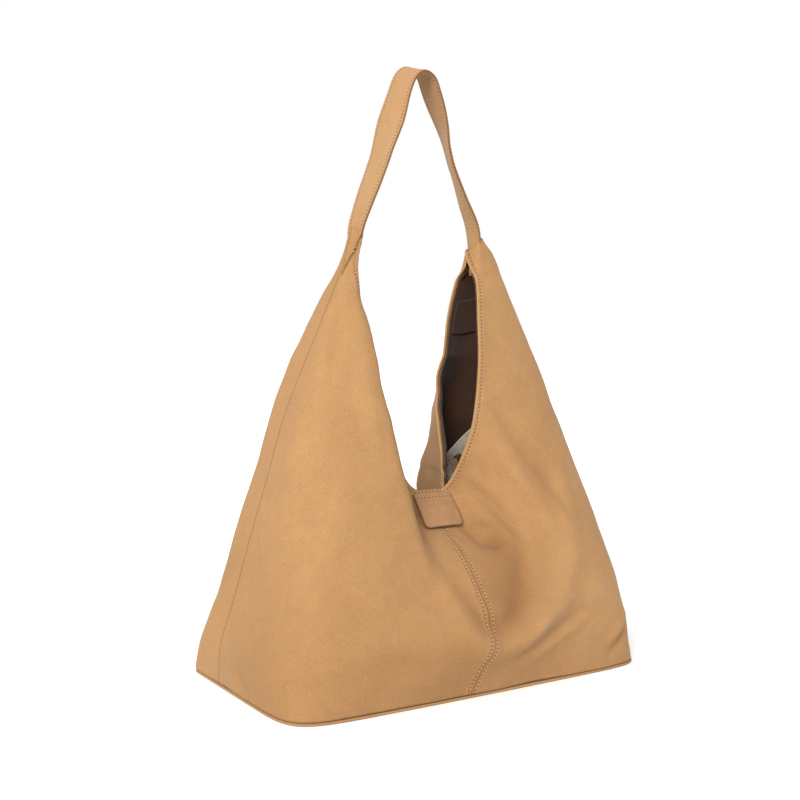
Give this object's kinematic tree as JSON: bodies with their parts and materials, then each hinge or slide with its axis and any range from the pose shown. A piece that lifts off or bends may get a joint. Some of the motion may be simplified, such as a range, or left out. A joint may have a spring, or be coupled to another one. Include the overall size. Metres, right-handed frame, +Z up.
{
  "type": "hobo bag",
  "caption": "Slouchy triangular hobo bag in soft faux suede: wide shoulder strap, deep V opening, snap closure, label tab and inner zip pouch.",
  "frame": {"origin": "centre of the base's underside, where the bag stands", "axes": "+Z up, X along the bag's length between its two peaks, the front with the label tab faces -Y"},
  "size_m": [0.396, 0.26, 0.604],
  "materials": {
    "faux_suede": "matte camel microfibre suede",
    "strap_suede": "matte light camel microfibre suede",
    "lining": "matte dark brown cloth",
    "pouch_cloth": "matte grey-beige cloth",
    "seam_tape": "matte woven tape",
    "tab_leather": "smooth matte leather",
    "stiffener_board": "matte board",
    "antique_metal": "brushed antique metal"
  },
  "bodies": {
    "bag": {"front_left_panel": "faux_suede", "front_left_lining": "lining", "front_left_facing": "faux_suede", "front_right_panel": "faux_suede", "front_right_lining": "lining", "front_right_facing": "faux_suede", "back_left_panel": "faux_suede", "back_left_lining": "lining", "back_left_facing": "faux_suede", "back_right_panel": "faux_suede", "back_right_lining": "lining", "back_right_facing": "faux_suede", "left_seam_binding": "seam_tape", "left_peak_patch": "seam_tape", "strap_end_left": "strap_suede", "right_seam_binding": "seam_tape", "right_peak_patch": "seam_tape", "strap_end_right": "strap_suede", "base_panel": "faux_suede", "base_board": "stiffener_board", "lining_base": "lining", "snap_socket": "antique_metal", "snap_stud": "antique_metal", "label_tab_root": "tab_leather", "pouch_back_wall": "pouch_cloth", "pouch_front_wall": "pouch_cloth", "zip_tape_back": "seam_tape", "zip_tape_front": "seam_tape"},
    "strap": {"strap_outer": "strap_suede", "strap_core": "seam_tape", "strap_backing": "strap_suede"},
    "label_flap": {"label_tab": "tab_leather"},
    "slider": {"zip_slider": "antique_metal"},
    "pull": {"zip_pull": "antique_metal"}
  },
  "joints": [
    {"name": "strap_swing", "type": "hinge", "parent": "bag", "child": "strap", "pos_m": [0, 0, 0.4305], "axis": [1, 0, 0], "range_deg": [-100, 100]},
    {"name": "label_lift", "type": "hinge", "parent": "bag", "child": "label_flap", "pos_m": [0, -0.04, 0.166], "axis": [-1, 0, 0], "range_deg": [0, 75]},
    {"name": "zip_slide", "type": "slide", "parent": "bag", "child": "slider", "axis": [0.9063, 0, 0.4226], "range_m": [0, 0.062]},
    {"name": "pull_flip", "type": "hinge", "parent": "slider", "child": "pull", "pos_m": [0.04368, -0.0166, 0.20848], "axis": [-0.9063, 0, -0.4226], "range_deg": [0, 150]}
  ]
}
